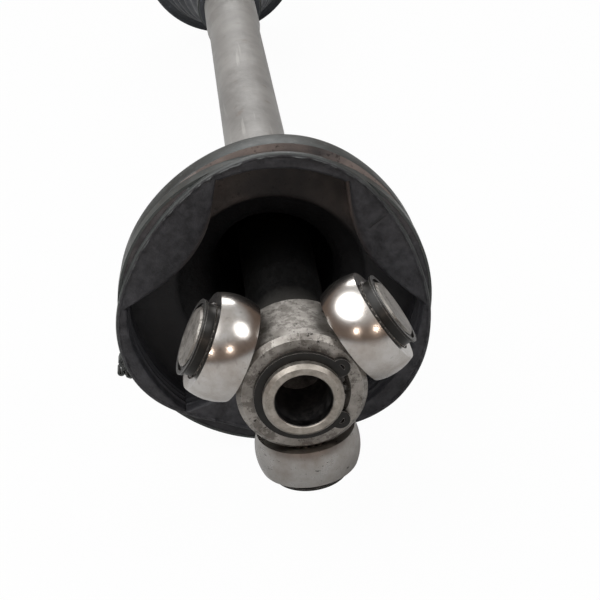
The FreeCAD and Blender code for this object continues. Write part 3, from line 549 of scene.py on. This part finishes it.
def mouth_line(angle):
    """Radius and station at one angle, over the rim and the face and in to the neck."""
    lip_width, face = 1.5, BOOT_FRONT + 0.3
    face_rows, round_rows, wall_rows = 9, 6, 26
    wall_end = BOOT_FRONT + 17.5
    rib_start, rib_end, rib_pitch, rib_height = BOOT_FRONT + 3.5, BOOT_FRONT + 14.5, 3.4, 0.8
    first_rib = BOOT_FRONT + 5.5

    lip = lip_radius(angle) + 0.25 * wobble(angle, 0, 0.08, 3)
    opening = pad_radius(angle) + 0.3 * wobble(angle, 0, 0.06, 9)
    pad_share = ease((LOBE_R - opening) / (LOBE_R - PAD_R))
    dish = 1.3 * pad_share
    edge_round = 1.0 + 3.6 * pad_share
    seam_turn = SEAM_TURN + 0.02 * wobble(angle, 0, 0.1, 1)
    seam = 0.5 * bulge(angle, seam_turn, math.radians(0.7))

    line = rim_line(angle, lip) + [(lip - lip_width, face)]
    outer_end, inner_end = lip - lip_width, opening + edge_round
    for step in range(1, face_rows):
        share = step / face_rows
        radius = outer_end + (inner_end - outer_end) * share
        chips = 0.35 * max(0.0, wobble(angle, 3 * radius, 0.5, 31)) * (1 - share)
        line.append((radius, face + dish * share**2 + seam - chips))

    for step in range(round_rows + 1):
        turn = math.pi / 2 * step / round_rows
        radius = inner_end - edge_round * math.sin(turn)
        line.append((radius, face + dish + edge_round * (1 - math.cos(turn))))

    wall_start = face + dish + edge_round + 0.4
    for row in range(wall_rows + 1):
        station = wall_start + (wall_end - wall_start) * row / wall_rows
        ridge = max(0.0, math.cos(2 * math.pi * (station - first_rib) / rib_pitch)) ** 2
        ribbed = rib_start < station < rib_end
        height = rib_height * ridge * (1 - pad_share) if ribbed else 0.0
        uneven = 0.15 * wobble(angle, station, 0.12, 21)
        line.append((opening - height + uneven, station))

    back = min(STEP_R, opening - 0.8)
    line.append((opening - 0.35, wall_end + 0.9))
    line.append((opening - 0.7 * min(1.0, opening - back), wall_end + 1.6))
    for share in (0.25, 0.5, 0.75, 0.95):
        line.append((opening - 1 + (back - opening + 1) * share, wall_end + 1.9 + 0.5 * share))
    line += [(back - 0.6, CUP_BACK - 0.3), (back - 1.4, CUP_BACK + 0.6), (back - 3.5, CUP_BACK + 2.4)]
    return line + [(NECK_R + 4.5, CUP_BACK + 5.4), (NECK_R + 1.5, CUP_BACK + 8.4)]


def leaning_rings(line):
    """Rings that lean over from the shaft's axis to the cup's, ahead of the folds' middle."""
    straight_from, lean_length = 100.0, 25.0
    rings = []
    for radius, station in line:
        aside = ease((straight_from - station) / lean_length)
        centre = (CUP[0] * aside, CUP[1] * aside)
        rings.append([about_axis(radius, station, angle, centre) for angle in ANGLES])
    return rings


def inner_boot_rings():
    """One closed loop of rings: outside from the small collar, over the lip, inside and back."""
    collar_start = BOOT_END - COLLAR_LENGTH
    small, large = INNER_SMALL_R, INNER_LARGE_R
    outer = folds(INNER_FOLDS, collar_start, small, INNER_FOLD_FRONT, large, INNER_FOLD_DEPTH)
    shell = [(INNER_BORE_R, BOOT_END), (small - 0.6, BOOT_END), (small - 0.1, BOOT_END - 0.4)]
    shell += [(small, BOOT_END - 1), (small, collar_start + 1)]
    shell += rounded([(small, collar_start + 0.2)] + outer + [(large - 1, INNER_FOLD_FRONT + 0.1)])
    neck_end = CUP_BACK + 10.4
    inner = inset(rounded(outer), BOOT_WALL)[::-1]
    inner = [(min(radius, NECK_R), station) for radius, station in inner if station > neck_end]

    lines = [mouth_line(angle) for angle in ANGLES]
    mouth = []
    for row in range(len(lines[0])):
        ring = [about_axis(*line[row], angle, CUP) for line, angle in zip(lines, ANGLES)]
        mouth.append(ring)
    bore = [about_axis(INNER_BORE_R, collar_start + 1, angle) for angle in ANGLES]
    return leaning_rings(shell) + mouth + leaning_rings(inner) + [bore]


def split_boot(piece):
    """Material 1 on outward surfaces, 0 on the face and inside."""
    outward_lean = 0.55
    for polygon in piece.data.polygons:
        spot = polygon.center
        outward = Vector((spot.x - CUP[0] * MM, 0, spot.z - CUP[1] * MM)).normalized()
        polygon.material_index = 1 if polygon.normal.dot(outward) > outward_lean else 0


inner_boot = looped("inner_boot_skin", inner_boot_rings(), sharp_degrees=50)
for material in (mouth_rubber, rim_rubber):
    inner_boot.data.materials.append(material)
split_boot(inner_boot)
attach(inner_boot, "shaft")
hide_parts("inner_boot")


# ------------------------------------------------ ear of the large clamp

EAR_TURN = math.radians(197)
EAR_START, EAR_END = BAND_START + 0.3, BAND_END - 0.3
EAR_STRIP = 0.7


def bent_strip(name, path):
    """A strip of steel bent along points of distance out and distance along the rim."""
    sides = ([], [])
    for i, here in enumerate(path):
        before, after = path[max(i - 1, 0)], path[min(i + 1, len(path) - 1)]
        run = Vector((after[0] - before[0], after[1] - before[1])).normalized() * EAR_STRIP
        for side, sign in zip(sides, (0.5, -0.5)):
            side.append((here[0] - sign * run.y, here[1] + sign * run.x))
    outline = sides[0] + sides[1][::-1]
    rings = []
    for station in (EAR_START, EAR_END):
        ring = []
        for out, along in outline:
            x = CUP[0] + out * math.cos(EAR_TURN) - along * math.sin(EAR_TURN)
            z = CUP[1] + out * math.sin(EAR_TURN) + along * math.cos(EAR_TURN)
            ring.append(Vector((x, station, z)) * MM)
        rings.append(ring)
    piece = looped(name, rings, closed=False)
    close_sides(piece, len(outline))
    piece.data.materials.append(band_steel)
    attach(piece, "shaft")


def close_sides(piece, count):
    """Faces across both sides of a strip whose rings have count points."""
    work = bmesh.new()
    work.from_mesh(piece.data)
    work.verts.ensure_lookup_table()
    for start in (0, count):
        for i in range(count // 2 - 1):
            corners = (start + i, start + i + 1, start + count - 2 - i, start + count - 1 - i)
            work.faces.new([work.verts[corner] for corner in corners])
    bmesh.ops.recalc_face_normals(work, faces=work.faces)
    work.to_mesh(piece.data)
    work.free()


def ear_bridge():
    """A low bridge with sloping feet on the band."""
    half = [(56.5, 5.2), (57.2, 4.6), (59.6, 4.2), (60.4, 3.4)]
    return [(out, -along) for out, along in half] + half[::-1]


def ear_hook():
    """An open hook on top of the bridge."""
    hook_r, hook_out, hook_along, start, step_degrees, steps = 1.1, 61.6, 0.8, 200, 24, 13
    path = []
    for step in range(steps):
        bend = math.radians(start - step_degrees * step)
        path.append((hook_out + hook_r * math.cos(bend), hook_along + hook_r * math.sin(bend)))
    return path


bent_strip("clamp_ear_bridge", ear_bridge())
bent_strip("clamp_ear_hook", ear_hook())


# ------------------------------------------------------------ outer boot

OUTER_FOLDS = 5
OUTER_SMALL_R, OUTER_LARGE_R = 17.4, 44.0
OUTER_BORE_R = 14.2
OUTER_FOLD_DEPTH = 6.5
RIM_R = 49.7
RIM_BED_R = 48.0
RIM_BORE_R = 45.4
RIM_START = OUTER_BOOT_END - 14.0


def outer_boot_rings():
    """One closed loop of rings: collar, folds, grooved rim, and back inside."""
    start, end = OUTER_BOOT_START, OUTER_BOOT_END
    fold_start = start + COLLAR_LENGTH
    small, large, rim = OUTER_SMALL_R, OUTER_LARGE_R, RIM_START
    outer = folds(OUTER_FOLDS, fold_start, small, rim, large, OUTER_FOLD_DEPTH)
    shell = [(OUTER_BORE_R, start), (small - 0.6, start), (small - 0.1, start + 0.4)]
    shell += [(small, start + 1), (small, fold_start - 1)]
    shell += rounded([(small, fold_start - 0.2)] + outer + [(large + 2.5, rim)])
    shell += [(RIM_R - 1.5, rim + 0.35), (RIM_R - 0.4, rim + 1.25), (RIM_R, rim + 2.45)]
    shell += [(RIM_R, rim + 5.05), (RIM_R - 0.3, rim + 5.25), (RIM_BED_R, rim + 5.3)]
    shell += [(RIM_BED_R, rim + 10.35), (RIM_R - 0.3, rim + 10.45), (RIM_R, rim + 10.75)]
    shell += [(RIM_R, end - 0.95), (RIM_R - 0.4, end - 0.25), (RIM_R - 1.1, end)]
    shell += [(RIM_BORE_R, end), (RIM_BORE_R, rim + 2.65), (large - 4, rim + 2.55)]
    inner = inset(rounded(outer), BOOT_WALL)[::-1]
    shell += [(min(radius, large - 5), station) for radius, station in inner]
    shell.append((OUTER_BORE_R, fold_start + 0.5))
    return [[about_axis(radius, station, angle) for angle in ANGLES] for radius, station in shell]


outer_boot = looped("outer_boot_skin", outer_boot_rings(), sharp_degrees=50)
outer_boot.data.materials.append(far_rubber)
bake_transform(outer_boot)
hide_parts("outer_boot")


# ---------------------------------------------------- stub axle's thread

def stub_thread():
    """A rolled thread over the plain end of the stub axle."""
    radius, pitch, crest, root, core = 11.0, 1.5, 0.26, 0.12, 0.6
    length, tip_chamfer, rows_per_pitch, sides = 23.6, 1.7, 8, 96
    start, end = STUB_TIP - length, STUB_TIP - tip_chamfer
    rows = int((end - start) / pitch * rows_per_pitch)
    turns = [2 * math.pi * i / sides for i in range(sides)]
    rings = []
    for row in range(rows + 1):
        station = start + (end - start) * row / rows
        run_out = ease((station - start) / pitch) * ease((end - station) / pitch)
        ring = []
        for angle in turns:
            phase = station / pitch + angle / (2 * math.pi)
            height = (crest + root) * (1 - 2 * abs(phase % 1.0 - 0.5)) * run_out
            ring.append(about_axis(radius - root + height, station, angle))
        rings.append(ring)
    for station in (end, start):
        rings.append([about_axis(radius - core, station, angle) for angle in turns])
    thread = looped("stub_thread", rings, sharp_degrees=60)
    thread.data.materials.append(forged)
    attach(thread, "bell")


stub_thread()


# ------------------------------------------------------ camera and stage

def camera_turn(azimuth, elevation, roll):
    """The camera's axes as a rotation: azimuth 0 looks along +Y."""
    az, el, ro = (math.radians(value) for value in (azimuth, elevation, roll))
    back = Vector((math.sin(az) * math.cos(el), -math.cos(az) * math.cos(el), math.sin(el)))
    right = (-back).cross(Vector((0, 0, 1))).normalized()
    up = right.cross(-back)
    turned_right = right * math.cos(ro) + up * math.sin(ro)
    turned_up = up * math.cos(ro) - right * math.sin(ro)
    return Matrix((turned_right, turned_up, back)).transposed().to_4x4()


def set_camera():
    """A long lens close to the open mouth, a little above the shaft."""
    eye = Vector((-12.931, -420.629, 244.344)) * MM
    azimuth, elevation, roll = -2.208, 27.381, -6.972
    lens = bpy.data.cameras.new("camera")
    lens.sensor_width = 36.0
    lens.lens = 90.0
    lens.clip_end = 20.0
    camera = bpy.data.objects.new("camera", lens)
    bpy.context.scene.collection.objects.link(camera)
    camera.matrix_world = Matrix.Translation(eye) @ camera_turn(azimuth, elevation, roll)
    bpy.context.scene.camera = camera


set_camera()


def area_light(name, at, towards, width, height, power, color=(1.0, 1.0, 1.0)):
    light = bpy.data.lights.new(name, "AREA")
    light.shape = "ELLIPSE"
    light.size = width
    light.size_y = height
    light.energy = power
    light.color = color
    lamp = bpy.data.objects.new(name, light)
    bpy.context.scene.collection.objects.link(lamp)
    lamp.location = at
    aim = Vector(towards) - Vector(at)
    lamp.rotation_euler = aim.to_track_quat("-Z", "Y").to_euler()


MIDDLE = (0, 0.05, 0)
WARM = (1.0, 0.82, 0.7)
area_light("key", (-0.5, -0.1, 0.95), MIDDLE, 1.5, 1.0, 14)
area_light("fill", (0.8, -0.3, 0.75), MIDDLE, 0.6, 0.6, 4)
area_light("back", (0.1, 1.1, 0.9), (0, 0.3, 0), 0.9, 0.5, 6)
area_light("left_spot", (-0.3, -0.62, 0.26), MIDDLE, 0.07, 0.07, 0.45, WARM)
area_light("right_spot", (0.2, -0.64, 0.26), MIDDLE, 0.07, 0.07, 0.45, WARM)


def room():
    """White to the camera; to polished steel a dim brown wall under a bright ceiling."""
    wall_top, ceiling_start = 0.4, 0.78
    wall_color, ceiling_color = (0.2, 0.145, 0.115, 1.0), (0.8, 0.8, 0.8, 1.0)
    world = bpy.data.worlds.new("room")
    bpy.context.scene.world = world
    world.use_nodes = True
    tree = world.node_tree
    tree.nodes.clear()
    path = tree.nodes.new("ShaderNodeLightPath")
    place = tree.nodes.new("ShaderNodeTexCoord")
    height = tree.nodes.new("ShaderNodeSeparateXYZ")
    tree.links.new(place.outputs["Generated"], height.inputs[0])
    rise = tree.nodes.new("ShaderNodeMapRange")
    tree.links.new(height.outputs["Z"], rise.inputs["Value"])
    rise.inputs["From Min"].default_value = wall_top
    rise.inputs["From Max"].default_value = ceiling_start
    tint = tree.nodes.new("ShaderNodeMix")
    tint.data_type = "RGBA"
    tree.links.new(rise.outputs["Result"], tint.inputs["Factor"])
    tint.inputs[6].default_value = wall_color
    tint.inputs[7].default_value = ceiling_color
    output = tree.nodes.new("ShaderNodeOutputWorld")

    def glow(color, strength):
        node = tree.nodes.new("ShaderNodeBackground")
        if isinstance(color, bpy.types.NodeSocket):
            tree.links.new(color, node.inputs["Color"])
        else:
            node.inputs["Color"].default_value = (*color, 1.0)
        node.inputs["Strength"].default_value = strength
        return node.outputs[0]

    def either(share, first, second):
        node = tree.nodes.new("ShaderNodeMixShader")
        tree.links.new(share, node.inputs[0])
        tree.links.new(first, node.inputs[1])
        tree.links.new(second, node.inputs[2])
        return node.outputs[0]

    soft = glow((1.0, 0.99, 0.98), 0.24)
    mirrored = glow(tint.outputs[2], 1.0)
    white = glow((1.0, 1.0, 1.0), 1.0)
    shown = either(path.outputs["Is Glossy Ray"], soft, mirrored)
    shown = either(path.outputs["Is Transmission Ray"], shown, white)
    shown = either(path.outputs["Is Camera Ray"], shown, white)
    tree.links.new(shown, output.inputs["Surface"])


room()


def floor_paper():
    """Grey in the light of the room and nearly white to the camera."""
    grey, white, glow_share, rough = (0.52, 0.52, 0.52, 1.0), (1.0, 1.0, 1.0, 1.0), 0.97, 0.9
    material = bpy.data.materials.new("floor_paper")
    material.use_nodes = True
    tree = material.node_tree
    matt = tree.nodes["Principled BSDF"]
    matt.inputs["Base Color"].default_value = grey
    matt.inputs["Roughness"].default_value = rough
    path = tree.nodes.new("ShaderNodeLightPath")
    glow = tree.nodes.new("ShaderNodeEmission")
    glow.inputs["Color"].default_value = white
    share = tree.nodes.new("ShaderNodeMath")
    share.operation = "MULTIPLY"
    share.inputs[1].default_value = glow_share
    tree.links.new(path.outputs["Is Camera Ray"], share.inputs[0])
    blend = tree.nodes.new("ShaderNodeMixShader")
    tree.links.new(share.outputs[0], blend.inputs[0])
    tree.links.new(matt.outputs[0], blend.inputs[1])
    tree.links.new(glow.outputs[0], blend.inputs[2])
    tree.links.new(blend.outputs[0], tree.nodes["Material Output"].inputs["Surface"])
    return material


def lay_floor():
    """A wide sheet just under the lowest point of the part."""
    half, clearance = 4.0, 0.0002
    z = cad_box[0][2] - clearance
    corners = [(-half, -half, z), (half, -half, z), (half, half, z), (-half, half, z)]
    floor = mesh_object("floor", corners, [(0, 1, 2, 3)])
    floor.data.materials.append(floor_paper())


lay_floor()

bpy.context.scene.view_settings.view_transform = "Standard"
